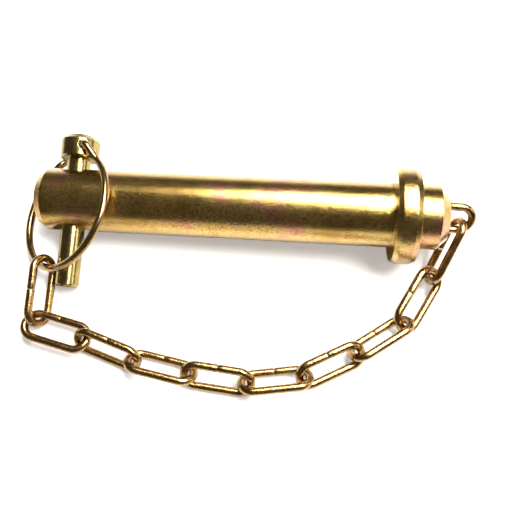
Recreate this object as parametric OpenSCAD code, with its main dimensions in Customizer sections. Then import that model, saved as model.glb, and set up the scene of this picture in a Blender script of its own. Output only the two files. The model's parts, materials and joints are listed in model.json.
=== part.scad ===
// Top link pin: a turned bar with a collar, a linch pin with its spring ring
// through the bar's tip, and a chain that ties the ring to the bar's end.
// It lies on a surface as it comes to rest: +Z is up, the bar runs along X
// with its tip towards -X, and the origin is on the bar's axis at the face
// of the collar that bears on the bracket.

/* [Bar] */
// Diameter of the bar
bar_d = 25.4; // [22:0.1:29]
// Length from the tip to the collar
shank_l = 142; // [125:1:160]
// Length of the chamfer at the tip
tip_chamfer = 3; // [1:0.5:5]
// Diameter of the collar
collar_d = 38; // [34:0.5:44]
// Width of the collar
collar_w = 9; // [6:0.5:12]
// Width of the bevel on each rim of the collar
collar_bevel = 2; // [0.5:0.25:3]
// Length of the stub behind the collar
stub_l = 11.8; // [8:0.2:16]
// Length of the chamfer at the stub's end
stub_chamfer = 3.6; // [1:0.2:4]

/* [Cross hole] */
// Diameter of the hole for the linch pin
cross_hole_d = 11; // [10:0.1:13]
// Distance of the hole from the tip
cross_hole_inset = 13; // [11:0.5:18]
// Diameter of the countersunk mouths
mouth_d = 16; // [13:0.5:18]

/* [Linch pin] */
// Diameter of the linch pin's shank
linch_d = 9.5; // [8:0.1:9.8]
// Length of the tail below the bar's axis
linch_tail = 36; // [32:0.5:42]
// Gap between the bar and the head
head_gap = 4.3; // [2:0.1:6]
// Diameter of the head
head_d = 16; // [14:0.5:18]
// Height of the head
head_h = 9.5; // [8:0.5:12]
// Height of the bevel on top of the head
head_bevel = 2; // [0.5:0.25:3]
// Diameter of the hole for the ring
eye_d = 4; // [3.5:0.1:4.5]

/* [Ring] */
// Thickness of the ring's wire
ring_wire = 3; // [2.5:0.1:3.2]
// Radius of the ring to the middle of the wire
ring_r = 24.3; // [23.5:0.1:25]
// Distance from the hole in the head to the ring's centre
ring_drop = 27.4; // [27:0.1:29]
// Turn of the ring about the linch pin
ring_turn = 33; // [33:1:36]
// Tip of the ring away from the linch pin
ring_tip = 9; // [8:0.5:11]
// Turn of the hole in the head about the linch pin
eye_turn = 62; // [56:1:66]

/* [Chain] */
// Thickness of the chain's wire
chain_wire = 3.2; // [2.8:0.1:3.4]
// Length inside a link
link_inner_l = 23.2; // [22.6:0.1:23.8]
// Width inside a link
link_inner_w = 6.8; // [6.6:0.1:7.2]
// Slack between two links
link_slack = 0.8; // [0.6:0.05:1]
// Open seam in the side of each link
seam_gap = 0.35; // [0.2:0.05:0.6]
// How far the first link stands out of the stub
first_link_out = 11.5; // [11:0.1:12.5]
// Depth of the sockets for the first link's legs
socket_depth = 4; // [2:0.5:6]
// Width of the weld round each leg of the first link
weld_d = 5.6; // [4.2:0.2:6.4]
// Height of the weld
weld_h = 1.6; // [0.8:0.1:2.4]

/* [Hidden] */

$fn = 64;
bevel_share = 0.4;
play = 0.05;
lap = 0.15;
mouth_over = 0.6;
reach = 60;
tail_bevel = 0.8;
head_foot_bevel = 0.6;

// Layout of the chain, chosen by hand: the compass headings of links 2 to 9
// before they are curled and turned to fit, the headings of links 10 and 11,
// and the roll of links 2 to 11 about their own length.
headings = [-111, -116, -142, -149, -168, -183, -188, -196];
heading_10 = 168;
heading_11 = 90;
rolls = [68, -37, 49, -48, 40, -48, 40, -57, 5, 10];
first_roll = 51;
first_contact = -84;
last_contact = -65;
rest_roll = 48;
first_drop = 27;

// Arc of the ring that is round, the corners and bends of its two legs, and
// the place on the arc that the chain hangs from
ring_open = 50;
leg_out = 3.2;
leg_in = 4;
leg_bends = [2.4, 4];
ring_end_inset = 4;
hang_angle = 103;

// Vectors
function unit(v) = v / norm(v);
function lay(v) = [v.x * cos(lean) - v.z * sin(lean), v.y, v.x * sin(lean) + v.z * cos(lean)];
function total(list, i = 0) = i < len(list) ? list[i] + total(list, i + 1) : 0;
function run(list, n) = n <= 0 ? 0 : list[n - 1] + run(list, n - 1);

// How the bar lies: on the rim of its collar and the edge of its tip
bar_r = bar_d / 2;
collar_r = collar_d / 2;
lean = atan2(collar_r - bar_r, shank_l - tip_chamfer + collar_bevel);
floor_z = collar_bevel * sin(lean) - collar_r * cos(lean);
bar_dir = lay([1, 0, 0]);
end_x = collar_w + stub_l;

// How the linch pin leans until its tail meets the surface
linch_r = linch_d / 2;
hole_x = cross_hole_inset - shank_l;
hole_at = lay([hole_x, 0, 0]);
hole_height = (hole_at.z - floor_z) / cos(lean);
linch_lean = asin(hole_height / norm([linch_tail, linch_r])) - atan2(linch_r, linch_tail);
head_rise = bar_r + head_gap;
eye_rise = head_rise + head_h / 2;

// The linch pin's own axes: across along the bar, tail down its length
tail_dir = lay([0, -cos(linch_lean), -sin(linch_lean)]);
across = bar_dir;
facing = cross(tail_dir, across);
eye_at = hole_at - tail_dir * eye_rise;
eye_dir = across * cos(eye_turn) + facing * sin(eye_turn);

// The ring's plane: ring_x across it and ring_y down it
ring_x = across * cos(ring_turn) + facing * sin(ring_turn);
ring_y = tail_dir * cos(ring_tip) - cross(ring_x, tail_dir) * sin(ring_tip);
ring_at = eye_at + ring_drop * ring_y;
function on_ring(a) = ring_at + ring_r * (cos(a) * ring_x + sin(a) * ring_y);

// Corners of the leg on one side, from inside the head to the round arc
function leg_corners(side) =
    let (pull = -side * sin(ring_open) * ring_x - cos(ring_open) * ring_y,
         to = on_ring(90 - side * (90 + ring_open)))
    [eye_at + side * ring_end_inset * eye_dir,
     eye_at + side * (head_d / 2 + leg_out) * eye_dir, to + leg_in * pull, to];
hang_at = on_ring(hang_angle);

// Shape of a link to the middle of its wire
link_r = (link_inner_w + chain_wire) / 2;
bend_x = (link_inner_l + chain_wire) / 2 - link_r;
pitch = link_inner_l - link_slack;
contact_r = link_r - (chain_wire + link_slack) / 2;
rest_z = floor_z + link_r * sin(rest_roll) + chain_wire / 2;

// The first link stands on the stub and the second hangs at its bend
first_side = lay([0, cos(first_roll), sin(first_roll)]);
first_bend_x = end_x + first_link_out - chain_wire / 2 - link_r;
pivot_1 = bar_dir * (first_bend_x + contact_r * cos(first_contact))
          + first_side * contact_r * sin(first_contact);

// The last link goes from a bend of link 10 up to the ring
dir_10 = [cos(heading_10), sin(heading_10), 0];
side_10 = cross([0, 0, 1], dir_10) * cos(rolls[8]) + [0, 0, sin(rolls[8])];
last_offset = contact_r * (cos(last_contact) * dir_10 + sin(last_contact) * side_10);
last_reach = link_inner_l - ring_wire / 2 - link_slack;
pivot_10_z = rest_z + last_offset.z;
last_flat = sqrt(pow(last_reach, 2) - pow(hang_at.z - pivot_10_z, 2));
pivot_10 = [hang_at.x - last_flat * cos(heading_11),
            hang_at.y - last_flat * sin(heading_11), pivot_10_z];
pivot_9 = pivot_10 - last_offset - dir_10 * (bend_x + link_inner_l / 2 - link_slack / 2);

// Links 2 and 3 come down to the surface and links 4 to 9 lie on it
fall = pivot_1.z - rest_z;
fall_2 = min(pitch * sin(first_drop), fall);
falls = [fall_2, fall - fall_2, 0, 0, 0, 0, 0, 0];
flat_pitch = [for (f = falls) sqrt(pitch * pitch - f * f)];

// The curl of links 2 to 9 is found by halving, so that the chain always
// ends where link 10 begins, and then the whole of it is turned to fit
mean_heading = total(headings) / len(headings);
gap_flat = [pivot_9.x - pivot_1.x, pivot_9.y - pivot_1.y];
function spread(curl) = [
    total([for (i = [0:7]) flat_pitch[i] * cos(curl * (headings[i] - mean_heading))]),
    total([for (i = [0:7]) flat_pitch[i] * sin(curl * (headings[i] - mean_heading))])
];
function find_curl(lo, hi, n) = n == 0 ? (lo + hi) / 2 :
    norm(spread((lo + hi) / 2)) > norm(gap_flat) ? find_curl((lo + hi) / 2, hi, n - 1)
                                                 : find_curl(lo, (lo + hi) / 2, n - 1);
curl = find_curl(0.2, 2.2, 40);
swing = atan2(gap_flat.y, gap_flat.x) - atan2(spread(curl).y, spread(curl).x);
laid = [for (h = headings) curl * (h - mean_heading) + swing];
function pivot(n) = n >= 10 ? pivot_10 : [
    pivot_1.x + run([for (i = [0:7]) flat_pitch[i] * cos(laid[i])], n - 1),
    pivot_1.y + run([for (i = [0:7]) flat_pitch[i] * sin(laid[i])], n - 1),
    pivot_1.z - run(falls, n - 1)
];

// Middle, long axis and sideways axis of link n
function link_start(n) = pivot(n - 1);
function link_dir(n) = n == 11 ? unit(hang_at - pivot_10)
    : n == 10 ? dir_10 : unit(pivot(n) - pivot(n - 1));
function link_mid(n) = link_start(n) + link_dir(n) * pitch / 2;
function level_side(n) = n == 11 ? unit(cross(link_dir(11), ring_x))
    : unit(cross([0, 0, 1], link_dir(n)));
function link_side(n) = let (s = level_side(n), r = rolls[n - 2])
    s * cos(r) + cross(link_dir(n), s) * sin(r);

module place(x, y, at) {
    z = cross(x, y);
    multmatrix([[x.x, y.x, z.x, at.x], [x.y, y.y, z.y, at.y], [x.z, y.z, z.z, at.z]])
        children();
}

module lie_down() {
    rotate([0, -lean, 0]) children();
}

module along_x(x = 0) {
    translate([x, 0, 0]) rotate([0, 90, 0]) children();
}

// One bend of a link, opening towards -X
module link_bend() {
    translate([bend_x, 0, 0]) rotate([0, 0, -90])
        rotate_extrude(angle = 180) translate([link_r, 0]) circle(d = chain_wire);
}

// A straight run of chain wire from x0 to x1 on one side of a link
module link_wire(x0, x1, side) {
    translate([0, side * link_r, 0]) along_x(x0) cylinder(d = chain_wire, h = x1 - x0);
}

// A bent wire link with its open butt seam in the middle of one side
module link() {
    union() {
        link_bend();
        mirror([1, 0, 0]) link_bend();
        link_wire(-bend_x, bend_x, 1);
        link_wire(-bend_x, -seam_gap / 2, -1);
        link_wire(seam_gap / 2, bend_x, -1);
    }
}

module chain_link(n) {
    color(n % 2 == 0 ? "#b79a4b" : "#a58238")
        place(link_dir(n), link_side(n), link_mid(n)) link();
}

// A link cut off short, its legs in the stub's sockets and welded round
module first_link() {
    leg_from_x = end_x - socket_depth;
    color("#a58238") place(bar_dir, first_side, [0, 0, 0]) union() {
        translate([first_bend_x - bend_x, 0, 0]) link_bend();
        for (side = [-1, 1]) {
            link_wire(leg_from_x, first_bend_x, side);
            translate([0, side * link_r, 0]) along_x(end_x)
                cylinder(d1 = weld_d, d2 = chain_wire, h = weld_h);
        }
    }
}

// Turned bar with collar and stub, cross hole and sockets
module pin_body() {
    collar_step = collar_bevel * bevel_share;
    tip_r = bar_r - tip_chamfer * 0.6;
    color("#c2a14e") lie_down() difference() {
        rotate([0, 90, 0]) rotate_extrude($fn = 96) polygon([
            [0, -shank_l], [tip_r, -shank_l], [bar_r, tip_chamfer - shank_l], [bar_r, 0],
            [collar_r - collar_step, 0], [collar_r, collar_bevel],
            [collar_r, collar_w - collar_bevel], [collar_r - collar_step, collar_w],
            [bar_r, collar_w], [bar_r, end_x - stub_chamfer],
            [bar_r - stub_chamfer, end_x], [0, end_x]
        ]);
        translate([hole_x, 0, 0]) rotate([90 + linch_lean, 0, 0]) {
            cylinder(d = cross_hole_d, h = reach, center = true);
            for (flip = [0, 180]) rotate([flip, 0, 0]) cross_hole_mouth();
        }
        for (side = [-1, 1]) rotate([first_roll, 0, 0])
            translate([0, side * link_r, 0]) along_x(end_x - socket_depth)
                cylinder(d = chain_wire + 2 * play, h = reach);
    }
}

// Countersink at one end of the cross hole
module cross_hole_mouth() {
    depth = (mouth_d - cross_hole_d) / 2;
    translate([0, 0, bar_r - depth])
        cylinder(d1 = cross_hole_d, d2 = mouth_d + 2 * mouth_over, h = depth + mouth_over);
}

// Linch pin: straight shank with a barrel head that is drilled for the ring
module linch_pin() {
    head_top = head_rise + head_h;
    head_r = head_d / 2;
    color("#c9ad5f") difference() {
        place(across, facing, hole_at) mirror([0, 0, 1]) rotate_extrude($fn = 80) polygon([
            [0, -linch_tail], [linch_r - tail_bevel, -linch_tail],
            [linch_r, tail_bevel - linch_tail], [linch_r, head_rise],
            [head_r - head_foot_bevel, head_rise],
            [head_r, head_rise + head_foot_bevel],
            [head_r, head_top - head_bevel], [head_r - head_bevel, head_top], [0, head_top]
        ]);
        place(eye_dir, tail_dir, eye_at) along_x(-reach / 2) cylinder(d = eye_d, h = reach);
    }
}

// How far before and after its corner an elbow of radius r begins and ends
function setback(from, corner, to, r) =
    r * tan(acos(unit(corner - from) * unit(to - corner)) / 2);

// A straight run of the ring's wire, a trace thicker than the bends that it
// laps over at both ends
module ring_run(from, to) {
    dir = unit(to - from);
    place(dir, unit(cross(dir, ring_x)), from) along_x(-lap)
        cylinder(d = ring_wire + 2 * play, h = norm(to - from) + 2 * lap);
}

// An elbow of the ring's wire, of radius r
module ring_elbow(from, corner, to, r) {
    dir = unit(corner - from);
    turn = acos(dir * unit(to - corner));
    inward = unit(unit(to - corner) - cos(turn) * dir);
    start = corner - setback(from, corner, to, r) * dir;
    place(-inward, dir, start + r * inward)
        rotate_extrude(angle = turn) translate([r, 0]) circle(d = ring_wire);
}

// One leg of the ring: three straight runs and two elbows
module ring_leg(side) {
    c = leg_corners(side);
    cut = [for (i = [0:1]) setback(c[i], c[i + 1], c[i + 2], leg_bends[i])];
    ring_run(c[0], c[1] - cut[0] * unit(c[1] - c[0]));
    ring_elbow(c[0], c[1], c[2], leg_bends[0]);
    ring_run(c[1] + cut[0] * unit(c[2] - c[1]), c[2] - cut[1] * unit(c[2] - c[1]));
    ring_elbow(c[1], c[2], c[3], leg_bends[1]);
    ring_run(c[2] + cut[1] * unit(c[3] - c[2]), c[3]);
}

// Spring wire ring with both ends sprung into the hole in the head
module linch_ring() {
    color("#b59245") union() {
        place(ring_x, ring_y, ring_at) rotate([0, 0, -ring_open])
            rotate_extrude(angle = 180 + 2 * ring_open) translate([ring_r, 0])
                circle(d = ring_wire);
        for (side = [-1, 1]) ring_leg(side);
    }
}

pin_body();
linch_pin();
linch_ring();
first_link();  // chain_link_01
chain_link(2);  // chain_link_02
chain_link(3);  // chain_link_03
chain_link(4);  // chain_link_04
chain_link(5);  // chain_link_05
chain_link(6);  // chain_link_06
chain_link(7);  // chain_link_07
chain_link(8);  // chain_link_08
chain_link(9);  // chain_link_09
chain_link(10);  // chain_link_10
chain_link(11);  // chain_link_11
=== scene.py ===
# %% [markdown]
# A top link pin: a turned steel bar with a collar, a linch pin through its tip, a spring
# ring on the linch pin and a short chain. Everything has one finish, yellow passivated
# zinc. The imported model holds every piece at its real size. This lesson gives each piece
# its finish, models the ring, the links and the welds again with softer forms, and
# lights them. Every length of the pin is its real size in millimetres, times MM. The
# ground and the lamps are given in metres.

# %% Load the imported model
import json
import math

import bpy
from mathutils import Matrix, Vector


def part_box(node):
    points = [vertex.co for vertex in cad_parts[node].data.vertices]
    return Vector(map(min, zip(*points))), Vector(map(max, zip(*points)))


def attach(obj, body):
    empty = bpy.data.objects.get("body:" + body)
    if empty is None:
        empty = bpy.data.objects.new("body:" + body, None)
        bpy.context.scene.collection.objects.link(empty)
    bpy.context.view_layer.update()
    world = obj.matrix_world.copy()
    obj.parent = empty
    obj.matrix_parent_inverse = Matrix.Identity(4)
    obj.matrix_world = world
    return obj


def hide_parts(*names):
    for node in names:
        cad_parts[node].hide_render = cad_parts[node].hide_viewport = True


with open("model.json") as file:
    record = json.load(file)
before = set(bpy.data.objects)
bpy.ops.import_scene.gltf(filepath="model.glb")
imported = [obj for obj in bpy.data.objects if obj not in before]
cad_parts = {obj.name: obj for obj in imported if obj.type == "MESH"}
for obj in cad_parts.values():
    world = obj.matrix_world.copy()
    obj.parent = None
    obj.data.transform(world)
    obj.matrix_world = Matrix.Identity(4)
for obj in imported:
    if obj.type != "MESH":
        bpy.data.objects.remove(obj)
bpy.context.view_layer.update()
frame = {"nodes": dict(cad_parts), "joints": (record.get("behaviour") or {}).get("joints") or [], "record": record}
nodes = frame["nodes"]
print("nodes", sorted(nodes))

# %% [markdown]
# The photograph looks down steeply from the front. A camera that was fitted to the bar,
# the collar and the equal links gives the angles and the distance below. Link 7 lies on
# the surface, so its lowest point gives the height of the ground.

# %% Camera
MM = 0.001
UP = Vector((0, 0, 1))
FLOOR_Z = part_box("chain_link_07")[0].z
VIEW_TURN = math.radians(-8.2)
VIEW_DOWN = math.radians(69.7)
VIEW_ROLL = math.radians(-3.6)
VIEW_DISTANCE = 248.8 * MM
VIEW_TARGET = Vector((-53.0 * MM, -14.2 * MM, FLOOR_Z))
VIEW_NEAREST = 10 * MM
LENS = 41.6
SENSOR_WIDTH = 36


def add_camera():
    forward = Vector((math.sin(VIEW_TURN) * math.cos(VIEW_DOWN),
                      math.cos(VIEW_TURN) * math.cos(VIEW_DOWN),
                      -math.sin(VIEW_DOWN)))
    right = forward.cross(UP).normalized()
    up = right.cross(forward)
    turned_right = right * math.cos(VIEW_ROLL) + up * math.sin(VIEW_ROLL)
    turned_up = up * math.cos(VIEW_ROLL) - right * math.sin(VIEW_ROLL)
    bpy.ops.object.camera_add()
    camera = bpy.context.object
    axes = Matrix((turned_right, turned_up, -forward)).transposed().to_4x4()
    camera.matrix_world = Matrix.Translation(VIEW_TARGET - forward * VIEW_DISTANCE) @ axes
    camera.data.lens = LENS
    camera.data.sensor_width = SENSOR_WIDTH
    camera.data.clip_start = VIEW_NEAREST
    bpy.context.scene.camera = camera
    return camera


camera = add_camera()
print("camera at", tuple(round(v, 3) for v in camera.location))

# %% [markdown]
# Yellow passivate is a thin clear film on bright zinc, so the metal looks gold with
# patches of olive, bronze and rose. It could be one flat gold, but then the bar would
# look like brass. So a slow noise picks the tint from a ramp of colours, and a fine noise
# gives the grain of the plated steel.

# %% Helpers for shader nodes
def new_node(tree, kind, **values):
    node = tree.nodes.new(kind)
    for name, value in values.items():
        node.inputs[name.replace("_", " ")].default_value = value
    return node


def new_ramp(tree, stops):
    ramp = tree.nodes.new("ShaderNodeValToRGB")
    elements = ramp.color_ramp.elements
    while len(elements) < len(stops):
        elements.new(0.5)
    for element, (place, colour) in zip(elements, stops):
        element.position = place
        element.color = (*colour, 1)
    return ramp


# %% [markdown]
# Each ramp below is the mix of tints on one kind of piece. The bar has the most, with
# rose between its golds, the linch pin is the greenest and the chain the brownest. The
# specks are the dark pits of the grain, and darken every tint by the same share.

# %% Tints of the zinc
TINTS = {
    "bar": [(0.0, (0.24, 0.13, 0.032)), (0.38, (0.46, 0.28, 0.07)), (0.53, (0.56, 0.39, 0.12)),
            (0.62, (0.56, 0.27, 0.15)), (0.72, (0.46, 0.31, 0.09)), (1.0, (0.34, 0.25, 0.06))],
    "linch": [(0.0, (0.18, 0.12, 0.035)), (0.45, (0.34, 0.25, 0.08)), (0.7, (0.44, 0.35, 0.13)),
              (1.0, (0.30, 0.26, 0.07))],
    "ring": [(0.0, (0.20, 0.12, 0.04)), (0.5, (0.40, 0.26, 0.095)), (1.0, (0.52, 0.37, 0.17))],
    "chain": [(0.0, (0.17, 0.085, 0.028)), (0.45, (0.36, 0.21, 0.07)), (0.7, (0.46, 0.30, 0.11)),
              (1.0, (0.42, 0.18, 0.08))],
}
SPECKS = [(0.38, (0.34, 0.30, 0.24)), (0.50, (1.0, 1.0, 1.0))]
SPECK_SHARE = 0.8


def add_tint(tree, patches, grain, stops):
    tint = new_ramp(tree, stops)
    speck = new_ramp(tree, SPECKS)
    tree.links.new(patches.outputs["Fac"], tint.inputs["Fac"])
    tree.links.new(grain.outputs["Fac"], speck.inputs["Fac"])
    mixed = tree.nodes.new("ShaderNodeMix")
    mixed.data_type = "RGBA"
    mixed.blend_type = "MULTIPLY"
    mixed.inputs["Factor"].default_value = SPECK_SHARE
    tree.links.new(tint.outputs["Color"], mixed.inputs["A"])
    tree.links.new(speck.outputs["Color"], mixed.inputs["B"])
    return mixed.outputs["Result"]


print("tints", {name: len(stops) for name, stops in TINTS.items()})

# %% [markdown]
# The patches also make the film a little smoother or rougher, and the grain is a slight
# bump. A turned edge is never quite sharp, so a Bevel node softens the light on it. The
# film itself is a thin coat over the metal.

# %% Zinc material
SMOOTHER = 0.08
ROUGHER = 0.10
EDGE_RADIUS = 0.4 * MM
EDGE_SAMPLES = 6
FILM = 0.3
FILM_ROUGHNESS = 0.2


def add_grain(tree, grain, depth):
    rounded = new_node(tree, "ShaderNodeBevel", Radius=EDGE_RADIUS)
    rounded.samples = EDGE_SAMPLES
    bump = new_node(tree, "ShaderNodeBump", Distance=depth, Strength=1.0)
    tree.links.new(rounded.outputs["Normal"], bump.inputs["Normal"])
    tree.links.new(grain.outputs["Fac"], bump.inputs["Height"])
    return bump.outputs["Normal"]


def zinc_material(name, stops, patch_scale, grain_scale, grain_depth, roughness):
    material = bpy.data.materials.new(name)
    material.use_nodes = True
    tree = material.node_tree
    place = tree.nodes.new("ShaderNodeTexCoord")
    patches = new_node(tree, "ShaderNodeTexNoise", Scale=patch_scale, Detail=4.0, Roughness=0.6)
    grain = new_node(tree, "ShaderNodeTexNoise", Scale=grain_scale, Detail=3.0, Roughness=0.65)
    rough = new_node(tree, "ShaderNodeMapRange", To_Min=roughness - SMOOTHER, To_Max=roughness + ROUGHER)
    shader = tree.nodes["Principled BSDF"]
    shader.inputs["Metallic"].default_value = 1.0
    shader.inputs["Coat Weight"].default_value = FILM
    shader.inputs["Coat Roughness"].default_value = FILM_ROUGHNESS
    for noise in (patches, grain):
        tree.links.new(place.outputs["Object"], noise.inputs["Vector"])
    tree.links.new(patches.outputs["Fac"], rough.inputs["Value"])
    tree.links.new(rough.outputs["Result"], shader.inputs["Roughness"])
    tree.links.new(add_tint(tree, patches, grain, stops), shader.inputs["Base Color"])
    tree.links.new(add_grain(tree, grain, grain_depth), shader.inputs["Normal"])
    return material


bar_zinc = zinc_material("bar_zinc", TINTS["bar"], patch_scale=55, grain_scale=1500,
                         grain_depth=0.09 * MM, roughness=0.21)
linch_zinc = zinc_material("linch_zinc", TINTS["linch"], patch_scale=110, grain_scale=1500,
                           grain_depth=0.03 * MM, roughness=0.18)
ring_zinc = zinc_material("ring_zinc", TINTS["ring"], patch_scale=160, grain_scale=1400,
                          grain_depth=0.04 * MM, roughness=0.20)
chain_zinc = zinc_material("chain_zinc", TINTS["chain"], patch_scale=130, grain_scale=1100,
                           grain_depth=0.08 * MM, roughness=0.22)
print("materials", [m.name for m in (bar_zinc, linch_zinc, ring_zinc, chain_zinc)])

# %% [markdown]
# The ring and the chain are round wire that was bent cold. Here a circle of the wire's
# section is pushed along its path: extrude for the straight runs, spin for the bends.
# That keeps the wire round all along, which a bevelled curve doesn't do in tight bends.
# Spin turns against the right-hand rule, so its angle gets a minus sign.

# %% Wire helpers
WIRE_SIDES = 28
BEND_STEPS = 28
MERGE_DISTANCE = 0.002 * MM
SMOOTH_ANGLE = math.radians(40)


def start_wire(name, place, direction, radius):
    bpy.ops.object.select_all(action="DESELECT")
    turn = direction.to_track_quat("Z", "Y").to_euler()
    bpy.ops.mesh.primitive_circle_add(vertices=WIRE_SIDES, radius=radius, location=place, rotation=turn)
    wire = bpy.context.object
    wire.name = name
    bpy.ops.object.transform_apply(location=True, rotation=True, scale=True)
    bpy.ops.object.mode_set(mode="EDIT")
    bpy.ops.mesh.select_all(action="SELECT")
    return wire


def push_straight(step, cuts=1):
    for _ in range(cuts):
        bpy.ops.mesh.extrude_region_move(TRANSFORM_OT_translate={"value": step / cuts})


def push_bend(centre, axis, turn, steps=BEND_STEPS):
    bpy.ops.mesh.spin(steps=steps, angle=-turn, center=centre, axis=axis)


# %% [markdown]
# The cut ends of real wire have a small rounding, so each end gets a face and its rim a
# bevel. Spin can turn a wall inside out, so the normals are worked out again.

# %% End of a wire
def end_wire(wire, end_rounding):
    bpy.ops.mesh.select_mode(type="EDGE")
    bpy.ops.mesh.select_all(action="SELECT")
    bpy.ops.mesh.remove_doubles(threshold=MERGE_DISTANCE)
    bpy.ops.mesh.select_all(action="DESELECT")
    bpy.ops.mesh.select_non_manifold()
    bpy.ops.mesh.edge_face_add()
    bpy.ops.mesh.bevel(offset=end_rounding, segments=3, profile=0.5, affect="EDGES")
    bpy.ops.mesh.select_all(action="SELECT")
    bpy.ops.mesh.normals_make_consistent(inside=False)
    bpy.ops.object.mode_set(mode="OBJECT")
    bpy.ops.object.select_all(action="DESELECT")
    wire.select_set(True)
    bpy.context.view_layer.objects.active = wire
    bpy.ops.object.shade_smooth_by_angle(angle=SMOOTH_ANGLE)


# %% [markdown]
# The spring ring hangs by its two ends from the hole in the linch pin's head. The packed
# record knows that hole as the ring's hinge, and the bar's direction as the axis of the
# collar's face. The linch pin crosses the bar square, so its direction goes from the hole
# to the nearest point of the bar's axis. The ring is turned about it and tipped off it.

# %% Where the ring hangs
RING_DROP = 27.4 * MM
RING_TURN = math.radians(33)
RING_TIP = math.radians(9)


def hinge(name):
    joint = next(j for j in frame["joints"] if j["name"] == name)
    return Vector(joint["pos_m"]), Vector(joint["axis"])


collar_face = next(m for m in frame["record"]["mounts"] if m["name"] == "collar_face")
BAR_WAY = -Vector(collar_face["axis"]).normalized()
EYE, flip_axis = hinge("ring_flip")
EYE_WAY = -flip_axis
TAIL_WAY = (EYE.dot(BAR_WAY) * BAR_WAY - EYE).normalized()
FACING = TAIL_WAY.cross(BAR_WAY)
RING_X = BAR_WAY * math.cos(RING_TURN) + FACING * math.sin(RING_TURN)
RING_Y = TAIL_WAY * math.cos(RING_TIP) - RING_X.cross(TAIL_WAY) * math.sin(RING_TIP)
RING_CENTRE = EYE + RING_DROP * RING_Y
print("ring centre", tuple(round(v / MM, 3) for v in RING_CENTRE), "mm")

# %% [markdown]
# Most of the ring is one round arc. On each side a leg leaves the arc, turns in an elbow
# towards the head and in a second one into the hole. A leg is a list of corners, and each
# elbow rounds one of them.

# %% Spring ring
RING_R = 24.3 * MM
RING_WIRE = 3.0 * MM
RING_OPEN = math.radians(50)
RING_STEPS = 90
RING_END_INSET = 4.0 * MM
HEAD_R = 8.0 * MM
LEG_OUT = 3.2 * MM
LEG_IN = 4.0 * MM
LEG_BENDS = (2.4 * MM, 4.0 * MM)
ELBOW_STEPS = 9
RING_END_ROUNDING = 0.3 * MM


def on_ring(angle):
    return RING_CENTRE + RING_R * (math.cos(angle) * RING_X + math.sin(angle) * RING_Y)


def leg_corners(side):
    leave = -side * math.sin(RING_OPEN) * RING_X - math.cos(RING_OPEN) * RING_Y
    arc_end = on_ring(math.pi / 2 - side * (math.pi / 2 + RING_OPEN))
    return [EYE + side * RING_END_INSET * EYE_WAY, EYE + side * (HEAD_R + LEG_OUT) * EYE_WAY,
            arc_end + LEG_IN * leave, arc_end]


def push_leg(corners, bends):
    place = corners[0]
    for before, corner, after, bend in zip(corners, corners[1:], corners[2:], bends):
        way_in = (corner - before).normalized()
        way_out = (after - corner).normalized()
        turn = way_in.angle(way_out)
        back = bend * math.tan(turn / 2)
        push_straight(corner - back * way_in - place)
        inward = (way_out - way_in * way_in.dot(way_out)).normalized()
        centre = corner - back * way_in + bend * inward
        push_bend(centre, way_in.cross(way_out).normalized(), turn, ELBOW_STEPS)
        place = corner + back * way_out
    push_straight(corners[-1] - place)


def model_ring():
    front_leg = leg_corners(1)
    back_leg = leg_corners(-1)
    first_way = (front_leg[1] - front_leg[0]).normalized()
    ring = start_wire("spring_ring", front_leg[0], first_way, RING_WIRE / 2)
    push_leg(front_leg, LEG_BENDS)
    push_bend(RING_CENTRE, RING_X.cross(RING_Y), math.pi + 2 * RING_OPEN, RING_STEPS)
    push_leg(back_leg[::-1], LEG_BENDS[::-1])
    end_wire(ring, RING_END_ROUNDING)
    return ring


ring = model_ring()
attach(ring, "ring")
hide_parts("linch_ring")
print("ring faces", len(ring.data.polygons), "ends at", ring.data.vertices[-1].co)

# %% [markdown]
# A chain link is cut wire bent round two pins, with a butt seam left open in one side. A
# torus stretched in the middle would look the same from afar, but it has no seam. So one
# link is modelled flat, from one cut end round to the other.

# %% Pattern link
LINK_WIRE = 3.2 * MM
INSIDE_LENGTH = 23.2 * MM
INSIDE_WIDTH = 6.8 * MM
SEAM = 0.12 * MM
LINK_R = (INSIDE_WIDTH + LINK_WIRE) / 2
BEND_X = (INSIDE_LENGTH + LINK_WIRE) / 2 - LINK_R
SIDE_CUTS = 6
LINK_END_ROUNDING = 0.28 * MM
LONG = Vector((1, 0, 0))


def model_link():
    half_side = LONG * (BEND_X - SEAM / 2)
    link = start_wire("link", Vector((SEAM / 2, -LINK_R, 0)), LONG, LINK_WIRE / 2)
    push_straight(half_side, SIDE_CUTS // 2)
    push_bend(LONG * BEND_X, UP, math.pi)
    push_straight(LONG * -2 * BEND_X, SIDE_CUTS)
    push_bend(LONG * -BEND_X, UP, math.pi)
    push_straight(half_side, SIDE_CUTS // 2)
    end_wire(link, LINK_END_ROUNDING)
    return link


pattern_link = model_link()
print("link is", tuple(round(v / MM, 2) for v in pattern_link.dimensions), "mm")

# %% [markdown]
# The imported record has a hinge where each link hangs in the one before, so links 2 to 9
# run from their own hinge to the next one. Link 10 lies flat at its own heading, and link
# 11 goes up to the ring. Each link is rolled about its length, as loose links lie, and
# the rolls were chosen one by one.

# %% Where the links lie
LINK_SLACK = 0.8 * MM
PITCH = INSIDE_LENGTH - LINK_SLACK
HEADING_10 = math.radians(168)
HANG_ANGLE = math.radians(103)
LINK_ROLLS = {2: 68, 3: -37, 4: 49, 5: -48, 6: 40, 7: -48, 8: 40, 9: -57, 10: 5, 11: 10}
link_starts = {number: hinge("link_%02d_swing" % number)[0] for number in LINK_ROLLS}


def long_way_of(number):
    if number == 11:
        way = on_ring(HANG_ANGLE) - link_starts[11]
    elif number == 10:
        way = Vector((math.cos(HEADING_10), math.sin(HEADING_10), 0))
    else:
        way = link_starts[number + 1] - link_starts[number]
    return way.normalized()


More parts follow.
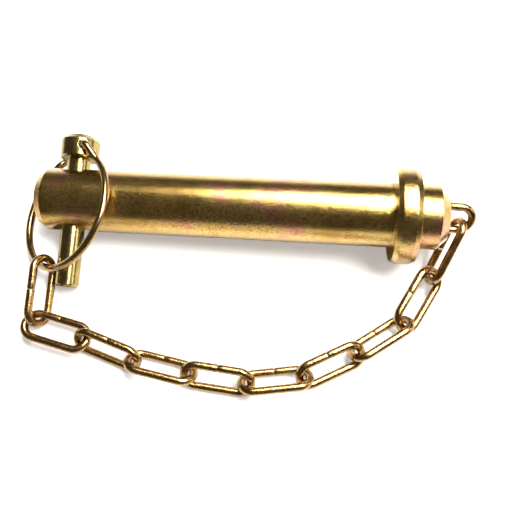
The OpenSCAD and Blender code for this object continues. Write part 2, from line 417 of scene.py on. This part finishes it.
def side_way_of(number, long_way):
    roll = math.radians(LINK_ROLLS[number])
    level = long_way.cross(RING_X) if number == 11 else UP.cross(long_way)
    level.normalize()
    return level * math.cos(roll) + long_way.cross(level) * math.sin(roll)


print("links start at", [tuple(round(v / MM, 1) for v in place) for place in link_starts.values()])

# %% [markdown]
# The flat link is copied to its ten places, and each copy gets its own mesh. The place
# goes into the mesh, so that every link's object stays at the origin.

# %% Chain links
def place_piece(piece, long_way, side_way, middle):
    axes = Matrix((long_way, side_way, long_way.cross(side_way))).transposed().to_4x4()
    piece.matrix_world = Matrix.Translation(middle) @ axes
    bpy.ops.object.select_all(action="DESELECT")
    piece.select_set(True)
    bpy.context.view_layer.objects.active = piece
    bpy.ops.object.transform_apply(location=True, rotation=True, scale=True)


links = []
for number, start in link_starts.items():
    link = pattern_link.copy()
    link.data = pattern_link.data.copy()
    link.name = "bent_link_%02d" % number
    bpy.context.collection.objects.link(link)
    long_way = long_way_of(number)
    place_piece(link, long_way, side_way_of(number, long_way), start + long_way * PITCH / 2)
    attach(link, "link_%02d" % number)
    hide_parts("chain_link_%02d" % number)
    links.append(link)
bpy.data.objects.remove(pattern_link)
print("links", len(links), "faces each", len(links[0].data.polygons))

# %% [markdown]
# The first link is a bend of the same wire with two short legs, set into sockets in the
# end of the bar. It is modelled flat like the others, with the bar's axis as its length,
# and then rolled about that axis.

# %% First link
COLLAR_WIDTH = 9.0 * MM
STUB_LENGTH = 11.8 * MM
FIRST_LINK_OUT = 11.5 * MM
SOCKET = 4.0 * MM
FIRST_ROLL = math.radians(51)
FIRST_END_ROUNDING = 0.2 * MM
BAR_END = COLLAR_WIDTH + STUB_LENGTH
FIRST_BEND = BAR_END + FIRST_LINK_OUT - LINK_WIRE / 2 - LINK_R
BACK = Vector((0, 1, 0))
FIRST_SIDE = BACK * math.cos(FIRST_ROLL) + BAR_WAY.cross(BACK) * math.sin(FIRST_ROLL)
BAR_ORIGIN = Vector((0, 0, 0))


def model_first_link():
    leg_from = BAR_END - SOCKET
    leg = LONG * (FIRST_BEND - leg_from)
    link = start_wire("first_link", Vector((leg_from, -LINK_R, 0)), LONG, LINK_WIRE / 2)
    push_straight(leg, SIDE_CUTS // 2)
    push_bend(LONG * FIRST_BEND, UP, math.pi)
    push_straight(-leg, SIDE_CUTS // 2)
    end_wire(link, FIRST_END_ROUNDING)
    place_piece(link, BAR_WAY, FIRST_SIDE, BAR_ORIGIN)
    return link


first_link = model_first_link()
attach(first_link, "bar")
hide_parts("chain_link_01")
print("first link faces", len(first_link.data.polygons))

# %% [markdown]
# A weld is a low lumpy bead round each leg. A cone would be too even, so each bead is a
# torus round its leg that gets its lumps from a displacement by a cloud texture, which is
# fixed in place and comes out the same each time.

# %% Welds
WELD_RADIUS = 1.75 * MM
BEAD_RADIUS = 1.0 * MM
BEAD_OUT = 0.25 * MM
LUMP_SIZE = 1.7 * MM
LUMP_HEIGHT = 0.7 * MM


def add_lumps(bead):
    lumps = bpy.data.textures.new(bead.name + "_lumps", "CLOUDS")
    lumps.noise_scale = LUMP_SIZE
    modifier = bead.modifiers.new("lumps", "DISPLACE")
    modifier.texture = lumps
    modifier.texture_coords = "LOCAL"
    modifier.strength = LUMP_HEIGHT
    modifier.mid_level = 0.5
    bpy.ops.object.modifier_apply(modifier="lumps")


def model_weld(name, side):
    bpy.ops.object.select_all(action="DESELECT")
    bpy.ops.mesh.primitive_torus_add(major_radius=WELD_RADIUS, minor_radius=BEAD_RADIUS,
                                     major_segments=40, minor_segments=16,
                                     rotation=(0, math.pi / 2, 0),
                                     location=(BAR_END + BEAD_OUT, side * LINK_R, 0))
    bead = bpy.context.object
    bead.name = name
    bpy.ops.object.transform_apply(location=True, rotation=True, scale=True)
    add_lumps(bead)
    bpy.ops.object.shade_smooth()
    place_piece(bead, BAR_WAY, FIRST_SIDE, BAR_ORIGIN)
    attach(bead, "bar")
    return bead


welds = [model_weld("weld_upper", 1), model_weld("weld_lower", -1)]
print("welds", [weld.name for weld in welds])

# %% [markdown]
# Every piece gets its finish here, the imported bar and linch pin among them. The bar and
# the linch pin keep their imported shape, because a lathe gives exactly that.

# %% Finish every piece
CAD_FINISHES = {"pin_body": bar_zinc, "linch_pin": linch_zinc, "linch_ring": ring_zinc}


def finish_with(piece, material):
    piece.data.materials.clear()
    piece.data.materials.append(material)


for name, node in nodes.items():
    finish_with(node, CAD_FINISHES.get(name, chain_zinc))
finish_with(ring, ring_zinc)
for piece in links + welds + [first_link]:
    finish_with(piece, chain_zinc)
print("finished", len(nodes), "packed pieces and", 1 + len(links) + len(welds) + 1, "new ones")

# %% [markdown]
# The ground is a white sheet, and the object drops a soft shadow on it towards the
# viewer. A little glow is added to the sheet, through Light Path and for the camera's own
# rays alone, so that the shadow stays as pale as in the photograph.

# %% Ground
GROUND_SIZE = 4.0
GROUND_WHITE = (0.86, 0.84, 0.80, 1)
GROUND_GLOW = 0.36


def ground_material():
    material = bpy.data.materials.new("white_ground")
    material.use_nodes = True
    tree = material.node_tree
    shader = tree.nodes["Principled BSDF"]
    shader.inputs["Base Color"].default_value = GROUND_WHITE
    shader.inputs["Roughness"].default_value = 0.9
    shader.inputs["Specular IOR Level"].default_value = 0.1
    path = tree.nodes.new("ShaderNodeLightPath")
    nothing = new_node(tree, "ShaderNodeEmission", Strength=0.0)
    glow = new_node(tree, "ShaderNodeEmission", Strength=GROUND_GLOW)
    pick = tree.nodes.new("ShaderNodeMixShader")
    add = tree.nodes.new("ShaderNodeAddShader")
    tree.links.new(path.outputs["Is Camera Ray"], pick.inputs["Fac"])
    tree.links.new(nothing.outputs["Emission"], pick.inputs[1])
    tree.links.new(glow.outputs["Emission"], pick.inputs[2])
    tree.links.new(shader.outputs["BSDF"], add.inputs[0])
    tree.links.new(pick.outputs["Shader"], add.inputs[1])
    tree.links.new(add.outputs["Shader"], tree.nodes["Material Output"].inputs["Surface"])
    return material


def add_ground():
    bpy.ops.object.select_all(action="DESELECT")
    bpy.ops.mesh.primitive_plane_add(size=GROUND_SIZE, location=(0, 0, FLOOR_Z))
    ground = bpy.context.object
    ground.name = "ground"
    ground.data.materials.append(ground_material())
    return ground


ground = add_ground()
print("ground at", round(ground.location.z / MM, 2), "mm")

# %% [markdown]
# One wide soft lamp hangs above and a little behind. The bar mirrors it as the bright
# band along its crest, the dim room as the dark bands and the white ground as the gold
# band near its lower edge. A small weak lamp far to the right lights the end of the bar.

# %% Lamps
LAMP_AIM = Vector((-0.06, -0.01, 0.0))


def add_lamp(name, place, width, depth, power):
    bpy.ops.object.light_add(type="AREA", location=place)
    lamp = bpy.context.object
    lamp.name = name
    lamp.data.shape = "RECTANGLE"
    lamp.data.size = width
    lamp.data.size_y = depth
    lamp.data.energy = power
    lamp.rotation_euler = (LAMP_AIM - Vector(place)).to_track_quat("-Z", "Y").to_euler()
    return lamp


lamps = [add_lamp("overhead_lamp", (0.13, 0.16, 0.62), width=0.66, depth=0.31, power=14.5),
         add_lamp("right_lamp", (0.75, 0.05, 0.35), width=0.3, depth=0.3, power=1.2)]
print("lamps", [(lamp.name, lamp.data.energy) for lamp in lamps])

# %% [markdown]
# The room round the object is dim and warm, and the metal mirrors it. The camera sees it
# white, again through Light Path. Seen from low down, the far end of the ground shows as
# a grey band under it.

# %% Room
ROOM_COLOUR = (0.85, 0.77, 0.66, 1)
ROOM_STRENGTH = 0.13


def add_room():
    world = bpy.data.worlds.new("room")
    bpy.context.scene.world = world
    world.use_nodes = True
    tree = world.node_tree
    room = tree.nodes["Background"]
    room.inputs["Color"].default_value = ROOM_COLOUR
    room.inputs["Strength"].default_value = ROOM_STRENGTH
    white = new_node(tree, "ShaderNodeBackground", Color=(1, 1, 1, 1), Strength=1.0)
    path = tree.nodes.new("ShaderNodeLightPath")
    pick = tree.nodes.new("ShaderNodeMixShader")
    tree.links.new(path.outputs["Is Camera Ray"], pick.inputs["Fac"])
    tree.links.new(room.outputs["Background"], pick.inputs[1])
    tree.links.new(white.outputs["Background"], pick.inputs[2])
    tree.links.new(pick.outputs["Shader"], tree.nodes["World Output"].inputs["Surface"])
    return world


world = add_room()
bpy.context.scene.view_settings.view_transform = "Standard"
print("world", world.name)
